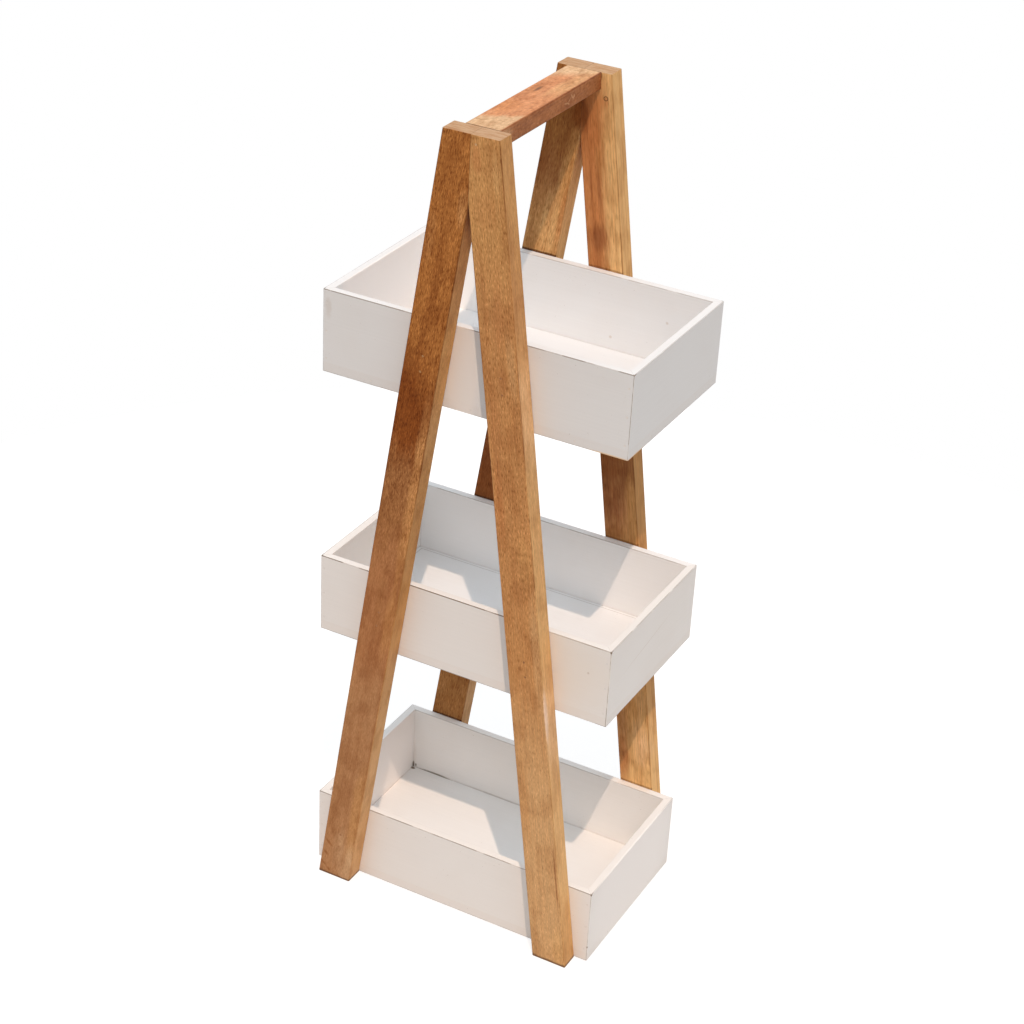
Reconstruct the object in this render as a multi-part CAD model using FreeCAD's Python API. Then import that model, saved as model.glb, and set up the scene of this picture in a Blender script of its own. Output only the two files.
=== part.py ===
import FreeCAD, Part
import math
import os

# Three-tray stand: two A-shaped timber frames, front and rear, carry three
# open painted trays and a handle rail. Millimetres, +Z up, front towards -Y.
# The origin lies on the ground under the middle of the stand.

# Trays: open boxes that hang between the frames
TRAY_NAMES = ("bottom", "middle", "top")
TRAY_LENGTH = 400.0
TRAY_DEPTH = 236.0
TRAY_HEIGHT = 105.0
TRAY_WALL = 10.0
TRAY_LIFT = 1.0  # underside of the bottom tray above the ground
TRAY_GAP = 252.5  # open height between a rim and the tray above it
TRAY_CORNER_ROUND = 1.5
TRAY_RIM_ROUND = 0.8
FLOOR_THICKNESS = 10.0
FLOOR_PLAY = 0.4  # open joint between the floor panel and each wall

# Frames: two leaning legs each, mitred together at the top
HANDLE_RISE = 239.0  # top of the frames above the top tray's rim
FOOT_INSET = 17.0  # outer edge of a foot inside the end of the trays
LEG_WIDTH = 46.0
LEG_THICKNESS = 26.0
LEG_ROUND = 1.5
LEG_END_ROUND = 0.8
MITRE_LENGTH = 81.0  # upright glue line where two legs meet

# Handle rail: joins the two frames, flush with their tops
RAIL_WIDTH = 45.0
RAIL_THICKNESS = 21.0
RAIL_ROUND = 1.8

# Nails: headed, pointed, with the head set just under the surface
NAIL_SHANK = 1.8
NAIL_HEAD = 2.8
NAIL_HEAD_HEIGHT = 1.4
NAIL_POINT = 3.0
NAIL_SET = 0.4
TRAY_NAIL_LENGTH = 30.0
CORNER_NAILS = 3  # up each corner
LONG_SIDE_NAILS = 3  # into the floor panel through the front and the rear board
SHORT_SIDE_NAILS = 2  # into the floor panel through each end board
LEG_NAIL_SPACING = 20.0
LEG_NAIL_RISE = 7.5  # middle of a pair of leg nails above the middle of the tray
LEG_NAIL_COVER = 1.0  # wood left between a leg nail's point and the tray's inside
RAIL_NAIL_LENGTH = 50.0
RAIL_NAIL_OFFSET = 6.5  # beside the mitre, so that the nail has one leg to itself

# Dowels: hidden in the mitres and in the rail's ends
DOWEL_DIAMETER = 8.0
DOWEL_BEVEL = 0.8
DOWEL_END_PLAY = 0.5
MITRE_DOWELS = 2
MITRE_DOWEL_LENGTH = 36.0
RAIL_DOWEL_LENGTH = 32.0
RAIL_DOWEL_SEAT = 12.0  # length of a rail dowel inside the leg
RAIL_NAIL_WEB = 1.6  # wood between the rail's nail and a dowel

# Clearance of nails and dowels in their holes, on the radius
HOLE_PLAY = 0.05
# Overshoot of cutting shapes past the faces that they cut
OVERCUT = 5.0
# Points nearer than this are in the same place
SAME_PLACE = 1e-6

TRAY_PITCH = TRAY_HEIGHT + TRAY_GAP
TRAY_BOTTOMS = {name: TRAY_LIFT + level * TRAY_PITCH for level, name in enumerate(TRAY_NAMES)}
STAND_HEIGHT = TRAY_BOTTOMS["top"] + TRAY_HEIGHT + HANDLE_RISE
HALF_LENGTH = TRAY_LENGTH / 2
HALF_DEPTH = TRAY_DEPTH / 2
OUTER_FACE = HALF_DEPTH + LEG_THICKNESS

# The inner edge of a leg runs from the foot to the lower end of the mitre.
# Across the lean the leg is LEG_WIDTH wide, so the lean solves
# HALF_SPREAD cos(lean) - CROTCH_HEIGHT sin(lean) = LEG_WIDTH.
HALF_SPREAD = HALF_LENGTH - FOOT_INSET
CROTCH_HEIGHT = STAND_HEIGHT - MITRE_LENGTH
LEAN = math.acos(LEG_WIDTH / math.hypot(HALF_SPREAD, CROTCH_HEIGHT)) - math.atan2(CROTCH_HEIGHT, HALF_SPREAD)
LEG_RUN = LEG_WIDTH / math.cos(LEAN)  # width of a leg along the ground

RAIL_AXIS_HEIGHT = STAND_HEIGHT - RAIL_THICKNESS / 2
RAIL_DOWEL_OFFSET = RAIL_NAIL_OFFSET + NAIL_SHANK / 2 + RAIL_NAIL_WEB + DOWEL_DIAMETER / 2
LEG_NAIL_LENGTH = LEG_THICKNESS + TRAY_WALL - NAIL_SET - LEG_NAIL_COVER

FRAMES = {"front": -1, "rear": 1}
SIDES = {"left": -1, "right": 1}

vector = FreeCAD.Vector


def placed(shape, point, direction):
    """Copy of a shape drawn along +Z from the origin, moved to a point and turned along a direction."""
    copy = shape.copy()
    copy.Placement = FreeCAD.Placement(point, FreeCAD.Rotation(vector(0, 0, 1), direction))
    return copy


def prism(points, bottom, height):
    """Upright solid over a polygon given as (x, y) pairs."""
    corners = [vector(x, y, bottom) for x, y in points]
    return Part.Face(Part.makePolygon(corners + corners[:1])).extrude(vector(0, 0, height))


def centred_box(length, depth, height, bottom):
    """Box about the Z axis."""
    return Part.makeBox(length, depth, height, vector(-length / 2, -depth / 2, bottom))


def rounded_bar(width, depth, length, radius):
    """Bar along +Z about the Z axis, with its four long edges rounded."""
    bar = centred_box(width, depth, length, 0)
    long_edges = [edge for edge in bar.Edges if abs(edge.tangentAt(edge.FirstParameter).z) > 0.5]
    return bar.makeFillet(radius, long_edges)


def edges_at_height(shape, height):
    """Edges that lie in one level plane."""
    return [edge for edge in shape.Edges if all(abs(v.Z - height) < SAME_PLACE for v in edge.Vertexes)]


def turned(profile):
    """Solid of revolution about Z of a closed outline of (radius, height) pairs."""
    corners = [vector(radius, 0, height) for radius, height in profile]
    face = Part.Face(Part.makePolygon(corners + corners[:1]))
    return face.revolve(vector(0, 0, 0), vector(0, 0, 1), 360)


def nail(length, play=0.0, mouth=0.0):
    """Nail along +Z, top of its head at the origin; play and mouth make it the shape of its hole."""
    head = NAIL_HEAD / 2 + play
    shank = NAIL_SHANK / 2 + play
    neck = NAIL_HEAD_HEIGHT + play
    tip = length + play
    outline = [(0, -mouth), (head, -mouth), (head, neck), (shank, neck), (shank, tip - NAIL_POINT), (0, tip)]
    return turned(outline)


def nails(seats):
    """Group of nails, one for each (surface point, direction, length)."""
    return Part.makeCompound([placed(nail(length), point + direction * NAIL_SET, direction)
                              for point, direction, length in seats])


def nail_holes(seats):
    """Holes for nails, open at the surface."""
    return [placed(nail(length, HOLE_PLAY, NAIL_SET + OVERCUT), point + direction * NAIL_SET, direction)
            for point, direction, length in seats]


def dowel(length):
    """Dowel along +Z from the origin, with bevelled ends."""
    radius = DOWEL_DIAMETER / 2
    rim = radius - DOWEL_BEVEL
    shoulder = length - DOWEL_BEVEL
    return turned([(0, 0), (rim, 0), (radius, DOWEL_BEVEL), (radius, shoulder), (rim, length), (0, length)])


def dowels(seats):
    """Group of dowels, one for each (end point, direction, length)."""
    return Part.makeCompound([placed(dowel(length), point, direction) for point, direction, length in seats])


def dowel_holes(seats):
    """Flat-ended holes for dowels, a little longer at both ends."""
    radius = DOWEL_DIAMETER / 2 + HOLE_PLAY
    return [Part.makeCylinder(radius, length + 2 * DOWEL_END_PLAY,
                              point - direction * DOWEL_END_PLAY, direction)
            for point, direction, length in seats]


def spread(count, length):
    """Middles of equal stretches along a length centred on zero."""
    return [length * ((index + 0.5) / count - 0.5) for index in range(count)]


def leg_middle(height):
    """Distance from the middle of the stand to a leg's middle line at a height."""
    return HALF_SPREAD - LEG_RUN / 2 - height * math.tan(LEAN)


def corner_seats(bottom):
    """Nails through the front and rear boards into the ends of the end boards."""
    reach = HALF_LENGTH - TRAY_WALL / 2
    middle = bottom + TRAY_HEIGHT / 2
    seats = []
    for end in FRAMES.values():
        for side in SIDES.values():
            for rise in spread(CORNER_NAILS, TRAY_HEIGHT):
                point = vector(side * reach, end * HALF_DEPTH, middle + rise)
                seats.append((point, vector(0, -end, 0), TRAY_NAIL_LENGTH))
    return seats


def floor_seats(bottom):
    """Nails through the four walls into the edges of the floor panel."""
    height = bottom + FLOOR_THICKNESS / 2
    seats = []
    for end in FRAMES.values():
        for x in spread(LONG_SIDE_NAILS, TRAY_LENGTH):
            seats.append((vector(x, end * HALF_DEPTH, height), vector(0, -end, 0), TRAY_NAIL_LENGTH))
    for side in SIDES.values():
        for y in spread(SHORT_SIDE_NAILS, TRAY_DEPTH):
            seats.append((vector(side * HALF_LENGTH, y, height), vector(-side, 0, 0), TRAY_NAIL_LENGTH))
    return seats


def leg_seats(bottom):
    """Pairs of nails through the four legs into the front and rear boards of one tray."""
    middle = bottom + TRAY_HEIGHT / 2 + LEG_NAIL_RISE
    seats = []
    for end in FRAMES.values():
        for side in SIDES.values():
            for height in (middle - LEG_NAIL_SPACING / 2, middle + LEG_NAIL_SPACING / 2):
                point = vector(side * leg_middle(height), end * OUTER_FACE, height)
                seats.append((point, vector(0, -end, 0), LEG_NAIL_LENGTH))
    return seats


def rail_nail_seats():
    """One nail through each frame into the end of the rail."""
    return [(vector(-end * RAIL_NAIL_OFFSET, end * OUTER_FACE, RAIL_AXIS_HEIGHT),
             vector(0, -end, 0), RAIL_NAIL_LENGTH)
            for end in FRAMES.values()]


def rail_dowel_seats(end):
    """Two dowels from one frame into the end of the rail, one from each leg."""
    start = end * (HALF_DEPTH + RAIL_DOWEL_SEAT)
    return [(vector(side * RAIL_DOWEL_OFFSET, start, RAIL_AXIS_HEIGHT), vector(0, -end, 0), RAIL_DOWEL_LENGTH)
            for side in SIDES.values()]


def mitre_dowel_seats(end):
    """Dowels across one frame's mitre, spread between the rail and the crotch."""
    middle = end * (HALF_DEPTH + LEG_THICKNESS / 2)
    top = STAND_HEIGHT - RAIL_THICKNESS
    step = (top - CROTCH_HEIGHT) / (MITRE_DOWELS + 1)
    return [(vector(-MITRE_DOWEL_LENGTH / 2, middle, top - step * (index + 1)),
             vector(1, 0, 0), MITRE_DOWEL_LENGTH)
            for index in range(MITRE_DOWELS)]


def blank_leg(side, end):
    """Leaning rounded bar cut level at the ground and the top, and upright at the mitre."""
    length = STAND_HEIGHT / math.cos(LEAN) + 2 * LEG_WIDTH
    bar = rounded_bar(LEG_WIDTH, LEG_THICKNESS, length, LEG_ROUND)
    bar.translate(vector(0, 0, -LEG_WIDTH))
    bar.rotate(vector(0, 0, 0), vector(0, 1, 0), -side * math.degrees(LEAN))
    bar.translate(vector(side * leg_middle(0), end * (HALF_DEPTH + LEG_THICKNESS / 2), 0))
    corner = vector(min(0, side * TRAY_LENGTH), -OUTER_FACE, 0)
    half = Part.makeBox(TRAY_LENGTH, 2 * OUTER_FACE, STAND_HEIGHT, corner)
    leg = bar.common(half)
    ends = [edge for height in (0, STAND_HEIGHT) for edge in edges_at_height(leg, height)
            if any(abs(v.X) > SAME_PLACE for v in edge.Vertexes)]
    return leg.makeFillet(LEG_END_ROUND, ends)


def tray_walls(bottom):
    """The four walls of a tray as one ring with eased corners and rim."""
    outside = rounded_bar(TRAY_LENGTH, TRAY_DEPTH, TRAY_HEIGHT, TRAY_CORNER_ROUND)
    walls = 2 * TRAY_WALL
    inside = centred_box(TRAY_LENGTH - walls, TRAY_DEPTH - walls, TRAY_HEIGHT + 2 * OVERCUT, -OVERCUT)
    ring = outside.cut(inside)
    ring = ring.makeFillet(TRAY_RIM_ROUND, edges_at_height(ring, TRAY_HEIGHT))
    ring.translate(vector(0, 0, bottom))
    return ring


def mitred_boards(bottom):
    """The ring of walls cut along its four mitres."""
    ring = tray_walls(bottom)
    out_x = HALF_LENGTH + OVERCUT
    out_y = HALF_DEPTH + OVERCUT
    in_x = HALF_LENGTH - TRAY_WALL - OVERCUT
    in_y = HALF_DEPTH - TRAY_WALL - OVERCUT
    boards = {}
    for name, end in FRAMES.items():
        plan = [(-out_x, end * out_y), (out_x, end * out_y), (in_x, end * in_y), (-in_x, end * in_y)]
        boards[f"{name}_board"] = ring.common(prism(plan, bottom, TRAY_HEIGHT))
    for name, side in SIDES.items():
        plan = [(side * out_x, -out_y), (side * out_x, out_y), (side * in_x, in_y), (side * in_x, -in_y)]
        boards[f"{name}_end_board"] = ring.common(prism(plan, bottom, TRAY_HEIGHT))
    return boards


def tray(name):
    """Boards, floor panel and nails of one tray, by node name."""
    bottom = TRAY_BOTTOMS[name]
    clear = 2 * (TRAY_WALL + FLOOR_PLAY)
    pieces = mitred_boards(bottom)
    pieces["floor_panel"] = centred_box(TRAY_LENGTH - clear, TRAY_DEPTH - clear, FLOOR_THICKNESS, bottom)
    groups = {
        "corner_nails": corner_seats(bottom),
        "floor_nails": floor_seats(bottom),
        "leg_nails": leg_seats(bottom),
    }
    holes = [hole for seats in groups.values() for hole in nail_holes(seats)]
    pieces = {node: piece.cut(holes) for node, piece in pieces.items()}
    pieces.update({node: nails(seats) for node, seats in groups.items()})
    return {f"{name}_tray_{node}": piece for node, piece in pieces.items()}


def frames_and_rail():
    """Legs, handle rail, their dowels and the rail's nails, by node name."""
    rail = rounded_bar(RAIL_WIDTH, RAIL_THICKNESS, TRAY_DEPTH, RAIL_ROUND)
    rail.rotate(vector(0, 0, 0), vector(1, 0, 0), 90)
    rail.translate(vector(0, HALF_DEPTH, RAIL_AXIS_HEIGHT))
    nail_seats = rail_nail_seats()
    holes = nail_holes(nail_seats)
    for bottom in TRAY_BOTTOMS.values():
        holes += nail_holes(leg_seats(bottom))
    nodes = {"rail_nails": nails(nail_seats)}
    for frame, end in FRAMES.items():
        nodes[f"{frame}_mitre_dowels"] = dowels(mitre_dowel_seats(end))
        nodes[f"{frame}_rail_dowels"] = dowels(rail_dowel_seats(end))
        holes += dowel_holes(mitre_dowel_seats(end)) + dowel_holes(rail_dowel_seats(end))
    for frame, end in FRAMES.items():
        for hand, side in SIDES.items():
            nodes[f"{frame}_{hand}_leg"] = blank_leg(side, end).cut(holes)
    nodes["handle_rail"] = rail.cut(holes)
    return nodes


def main():
    """Builds every node and writes one file for each."""
    nodes = frames_and_rail()
    for name in TRAY_NAMES:
        nodes.update(tray(name))
    os.makedirs("parts", exist_ok=True)
    for name, shape in nodes.items():
        shape.exportStep(f"parts/{name}.step")
    print(f"{len(nodes)} nodes, stand height {STAND_HEIGHT:.1f}, lean {math.degrees(LEAN):.2f} degrees")


main()
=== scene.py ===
"""Looks of a three-tray stand with two A-shaped timber frames.

The CAD nodes keep their shapes and get procedural finishes. Putty over the nail heads is
made with Geometry Nodes. Metres, +Z up, front towards -Y, origin on the ground.
"""
from __future__ import annotations

import logging
import math
from dataclasses import dataclass
from enum import Enum
from typing import Union

import bmesh
import bpy
from mathutils import Matrix, Vector

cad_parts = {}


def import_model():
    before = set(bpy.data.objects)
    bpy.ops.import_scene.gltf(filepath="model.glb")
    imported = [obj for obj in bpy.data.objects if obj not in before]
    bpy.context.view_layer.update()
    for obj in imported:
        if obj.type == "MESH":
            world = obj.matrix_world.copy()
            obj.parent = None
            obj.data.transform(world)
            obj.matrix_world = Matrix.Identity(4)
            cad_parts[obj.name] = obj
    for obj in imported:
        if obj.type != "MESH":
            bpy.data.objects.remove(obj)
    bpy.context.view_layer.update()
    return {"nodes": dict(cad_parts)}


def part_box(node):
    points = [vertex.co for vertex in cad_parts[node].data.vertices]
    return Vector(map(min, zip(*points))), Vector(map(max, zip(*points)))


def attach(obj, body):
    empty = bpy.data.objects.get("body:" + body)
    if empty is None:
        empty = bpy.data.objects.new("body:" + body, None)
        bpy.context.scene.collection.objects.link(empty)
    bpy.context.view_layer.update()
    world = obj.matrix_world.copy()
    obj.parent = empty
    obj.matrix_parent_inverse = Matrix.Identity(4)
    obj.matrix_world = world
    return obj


LOG = logging.getLogger("tray_stand")
MM = 0.001
TRAY_NAMES = ("bottom", "middle", "top")

Triple = tuple[float, float, float]
Socket = bpy.types.NodeSocket
Feed = Union[float, int, str, bool, Triple, Socket]
Nodes = dict[str, bpy.types.Object]
Head = tuple[Vector, Vector]


class Slot(Enum):
    """Material slots of the record that the putty belongs to."""

    TIMBER = "oiled_timber"
    PAINT = "painted_board"


class Side(Enum):
    """Left and right, as signs of X."""

    LEFT = -1
    RIGHT = 1


class End(Enum):
    """Front and rear frames, as signs of Y."""

    FRONT = -1
    REAR = 1


class Tone(Enum):
    """Colours of the timber, as linear red, green and blue."""

    RUSSET = (0.465, 0.182, 0.046)
    UMBER = (0.26, 0.073, 0.013)
    COCOA = (0.28, 0.087, 0.025)
    TAWNY = (0.39, 0.166, 0.057)
    COPPER = (0.48, 0.212, 0.085)
    CHESTNUT = (0.49, 0.245, 0.108)
    HONEY = (0.66, 0.345, 0.122)
    AMBER = (0.61, 0.295, 0.105)
    OLIVE = (0.54, 0.275, 0.102)
    STRAW = (0.71, 0.42, 0.19)
    WHEAT = (0.85, 0.52, 0.22)
    FLAX = (0.93, 0.60, 0.33)
    SALMON = (0.68, 0.30, 0.132)
    SAPWOOD = (0.75, 0.49, 0.275)
    RUST = (0.60, 0.237, 0.08)
    SIENNA = (0.45, 0.168, 0.055)
    MAHOGANY = (0.37, 0.135, 0.046)
    BARK = (0.13, 0.06, 0.028)
    MOSS = (0.365, 0.152, 0.043)
    CHALK = (0.92, 0.70, 0.55)
    END_GRAIN = (0.565, 0.368, 0.217)


class Wear(Enum):
    """Colours of worn and stained places in the paint, and of painted light and shade on it."""

    BARE = (0.17, 0.125, 0.085)
    # Dark tint for real stains, and also for painted shade in a corner and along a line
    STAIN_AND_SHADE = (0.62, 0.54, 0.47)
    RUBBED = (0.93, 0.66, 0.38)
    CREAM = (0.895, 0.85, 0.79)
    # The whites below are painted light on shaded or weakly lit boards; IVORY is a painted warm bounce
    IVORY = (0.975, 0.94, 0.905)
    ROSE = (0.985, 0.935, 0.91)
    PEARL = (0.975, 0.955, 0.945)
    MILK = (0.985, 0.97, 0.96)
    LIT_WHITE = (0.985, 0.985, 0.985)


@dataclass(frozen=True)
class Layer:
    """One layer of noise in a material.

    Attributes:
        scale: waves in a metre along each axis.
        shift: added to the material's seed, so that its layers differ.
        detail: octaves of finer noise.
    """

    scale: Triple
    shift: float
    detail: float


class Graph:
    """Adds nodes to one node tree and joins them."""

    # Keeps the three axes of a seed's shift apart
    SEED_AXES = (1.0, 1.7, 2.3)

    def __init__(self, tree: bpy.types.NodeTree) -> None:
        """Starts from an empty tree."""
        tree.nodes.clear()
        self.tree = tree

    def feed(self, socket: Socket, value: Feed) -> None:
        """Links a socket to an input, or sets the input's own value.

        Args:
            socket: the input.
            value: another node's output, or a constant.
        """
        if isinstance(value, Socket):
            self.tree.links.new(value, socket)
        elif socket.type == "RGBA":
            socket.default_value = (*value, 1.0)
        else:
            socket.default_value = value

    def add(self, kind: str, feeds: dict[str | int, Feed], **settings: object) -> bpy.types.Node:
        """Adds one node.

        Args:
            kind: Blender's name of the node type.
            feeds: values or sockets for its inputs, by name or number.
            settings: properties of the node.

        Returns:
            The new node.
        """
        node = self.tree.nodes.new(kind)
        for name, value in settings.items():
            setattr(node, name, value)
        for key, value in feeds.items():
            self.feed(node.inputs[key], value)
        return node

    def math(self, operation: str, *values: Feed) -> Socket:
        """Result of a Math node."""
        return self.add("ShaderNodeMath", dict(enumerate(values)), operation=operation).outputs[0]

    def times(self, first: Feed, second: Feed) -> Socket:
        """Product of two values."""
        return self.math("MULTIPLY", first, second)

    def plus(self, base: Feed, value: Feed, factor: Feed) -> Socket:
        """A base with a multiple of a value added to it."""
        return self.math("MULTIPLY_ADD", value, factor, base)

    def off(self, value: Feed, middle: Feed = 0.0) -> Socket:
        """Distance of a value from a middle, either way."""
        return self.math("ABSOLUTE", self.math("SUBTRACT", value, middle))

    def hypot(self, first: Socket, second: Socket) -> Socket:
        """Length of two distances at a right angle."""
        return self.math("SQRT", self.plus(self.times(second, second), first, first))

    def mapped(self, place: Socket, scale: Triple = (1, 1, 1), shift: Triple = (0, 0, 0),
               turn: Triple = (0, 0, 0)) -> Socket:
        """Coordinates that are scaled, turned by Euler angles and then shifted."""
        feeds = {"Vector": place, "Scale": scale, "Location": shift, "Rotation": turn}
        return self.add("ShaderNodeMapping", feeds).outputs[0]

    def object_place(self) -> Socket:
        """Object coordinates."""
        return self.add("ShaderNodeTexCoord", {}).outputs["Object"]

    def axes(self, place: Socket) -> tuple[Socket, Socket, Socket]:
        """The three coordinates by themselves."""
        return tuple(self.add("ShaderNodeSeparateXYZ", {0: place}).outputs)

    def length(self, place: Socket) -> Socket:
        """Distance from the origin of some coordinates."""
        return self.add("ShaderNodeVectorMath", {0: place}, operation="LENGTH").outputs["Value"]

    def noise(self, place: Socket, layer: Layer, seed: float) -> Socket:
        """Noise about zero, from about -0.5 to 0.5.

        Args:
            place: coordinates in metres.
            layer: scale and detail of the noise.
            seed: seed of the material.

        Returns:
            The noise value.
        """
        shift = tuple((seed + layer.shift) * factor for factor in self.SEED_AXES)
        moved = self.mapped(place, scale=layer.scale, shift=shift)
        feeds = {"Vector": moved, "Scale": 1.0, "Detail": layer.detail}
        return self.math("SUBTRACT", self.add("ShaderNodeTexNoise", feeds).outputs[0], 0.5)

    def span(self, value: Socket, start: float, stop: float, low: float = 0.0, high: float = 1.0) -> Socket:
        """Smooth step of a value.

        Args:
            value: what is measured.
            start: value that gives low.
            stop: value that gives high.
            low: result before start.
            high: result after stop.

        Returns:
            The stepped value.
        """
        if start > stop:
            start, stop, low, high = stop, start, high, low
        feeds = {0: value, 1: start, 2: stop, 3: low, 4: high}
        return self.add("ShaderNodeMapRange", feeds, interpolation_type="SMOOTHSTEP").outputs[0]

    def mix(self, share: Feed, first: Feed, second: Feed, blend: str = "MIX") -> Socket:
        """Mixes a share of a second colour into a first one."""
        settings = {"data_type": "RGBA", "blend_type": blend, "clamp_result": True}
        return self.add("ShaderNodeMix", {0: share, 6: first, 7: second}, **settings).outputs[2]

    def tinted(self, colour: Socket, share: Feed, tint: Triple) -> Socket:
        """A colour multiplied by a share of a tint."""
        return self.mix(share, colour, tint, "MULTIPLY")

    def ramp(self, value: Socket, stops: tuple[tuple[float, Triple], ...]) -> Socket:
        """Colour that runs through stops.

        Args:
            value: place along the ramp, from 0 to 1.
            stops: places and colours in order.

        Returns:
            The colour.
        """
        node = self.add("ShaderNodeValToRGB", {0: value})
        elements = node.color_ramp.elements
        while len(elements) < len(stops):
            elements.new(0.5)
        for element, (position, colour) in zip(elements, stops):
            element.position = position
            element.color = (*colour, 1.0)
        return node.outputs[0]

    def brightness(self, colour: Socket, value: Socket) -> Socket:
        """Multiplies a colour's value."""
        return self.add("ShaderNodeHueSaturation", {"Color": colour, "Value": value}).outputs[0]

    def bump(self, height: Socket, depth: float) -> Socket:
        """Normal of a relief, whose depth is in metres for a height of one."""
        return self.add("ShaderNodeBump", {"Strength": 1.0, "Distance": depth, "Height": height}).outputs[0]

    def surface(self, colour: Feed, roughness: Feed, normal: Socket, gloss: float,
                metallic: float = 0.0) -> None:
        """Ends the tree in a Principled shader.

        Args:
            colour: base colour.
            roughness: roughness of the gloss.
            normal: normal of a relief.
            gloss: specular level, a constant on the shader's own socket.
            metallic: 1 on bare metal.
        """
        feeds = {"Base Color": colour, "Roughness": roughness, "Normal": normal,
                 "Specular IOR Level": gloss, "Metallic": metallic}
        shader = self.add("ShaderNodeBsdfPrincipled", feeds)
        self.add("ShaderNodeOutputMaterial", {"Surface": shader.outputs[0]})


def new_material(name: str) -> tuple[bpy.types.Material, Graph]:
    """Makes an empty node material.

    Args:
        name: name of the material.

    Returns:
        The material and the graph that fills it.
    """
    material = bpy.data.materials.new(name)
    material.use_nodes = True
    return material, Graph(material.node_tree)


def new_object(name: str, data: bpy.types.ID) -> bpy.types.Object:
    """Puts a new object into the scene.

    Args:
        name: name of the object.
        data: its mesh, camera or light.

    Returns:
        The object.
    """
    made = bpy.data.objects.new(name, data)
    bpy.context.scene.collection.objects.link(made)
    return made


def dress(node: bpy.types.Object, material: bpy.types.Material) -> None:
    """Puts a material on a CAD node.

    Args:
        node: object of the node.
        material: its finish.
    """
    if not node.material_slots:
        node.data.materials.append(material)
    for slot in node.material_slots:
        slot.material = material
    LOG.info("%s: %s", node.name, material.name)


@dataclass(frozen=True)
class Patch:
    """Soft-edged ellipsoid of another tone.

    Attributes:
        centre: middle of the patch.
        reach: half lengths along the three axes.
        tone: colour of the patch.
        strength: share of the tone at the middle.
        ragged: how far noise moves the edge, as a share of the reach.
        soft: share of the reach over which the edge fades.
        turn: Euler angles that bring the patch in line with the axes.
    """

    centre: Triple
    reach: Triple
    tone: Tone | Wear
    strength: float = 0.6
    ragged: float = 0.8
    soft: float = 0.7
    turn: Triple = (0.0, 0.0, 0.0)

    def over(self, graph: Graph, place: Socket, base: Socket, wander: Socket) -> Socket:
        """Lays the patch over a colour.

        Args:
            graph: tree to add to.
            place: coordinates in metres.
            base: colour underneath.
            wander: noise for the edge.

        Returns:
            The new colour.
        """
        local = graph.mapped(place, shift=tuple(-middle for middle in self.centre))
        if any(self.turn):
            local = graph.mapped(local, turn=self.turn)
        distance = graph.length(graph.mapped(local, scale=tuple(1 / reach for reach in self.reach)))
        edge = graph.plus(distance, wander, self.ragged)
        return graph.mix(graph.span(edge, 1.0, 1.0 - self.soft, 0.0, self.strength), base, self.tone.value)


@dataclass(frozen=True)
class Knot:
    """Ring knot in the face of a bar.

    Attributes:
        across: place across the bar's width.
        along: place along the bar.
        radius: radius of the dark ring.
        line: half of the ring's width, as a share of the radius.
        depth: share of the dark tone on the ring.
        eye: share of the dark tone at the knot's middle.
    """

    across: float
    along: float
    radius: float
    line: float = 0.4
    depth: float = 0.85
    eye: float = 0.5

    # Shares of the radius between which the eye fades
    EYE_FADE = (0.45, 0.1)

    def over(self, graph: Graph, place: Socket, base: Socket) -> Socket:
        """Draws the ring and the eye of the knot over a colour.

        Args:
            graph: tree to add to.
            place: coordinates in the bar's own axes.
            base: colour underneath.

        Returns:
            The new colour.
        """
        size = 1 / self.radius
        shift = (-self.across * size, 0.0, -self.along * size)
        distance = graph.length(graph.mapped(place, scale=(size, 0.0, size), shift=shift))
        ring = graph.span(graph.off(distance, 1.0), self.line, 0.2 * self.line, 0.0, self.depth)
        eye = graph.span(distance, *self.EYE_FADE, 0.0, self.eye)
        return graph.mix(graph.math("MAXIMUM", ring, eye), base, Tone.BARK.value)


@dataclass(frozen=True)
class Stock:
    """Sockets that the steps of one timber material share.

    Attributes:
        graph: tree of the material.
        place: Object coordinates.
        bar: coordinates in the bar's own axes.
        across: distance across the width.
        through: distance through the thickness.
        along: distance along the bar.
        wander: noise for edges.
    """

    graph: Graph
    place: Socket
    bar: Socket
    across: Socket
    through: Socket
    along: Socket
    wander: Socket


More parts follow.
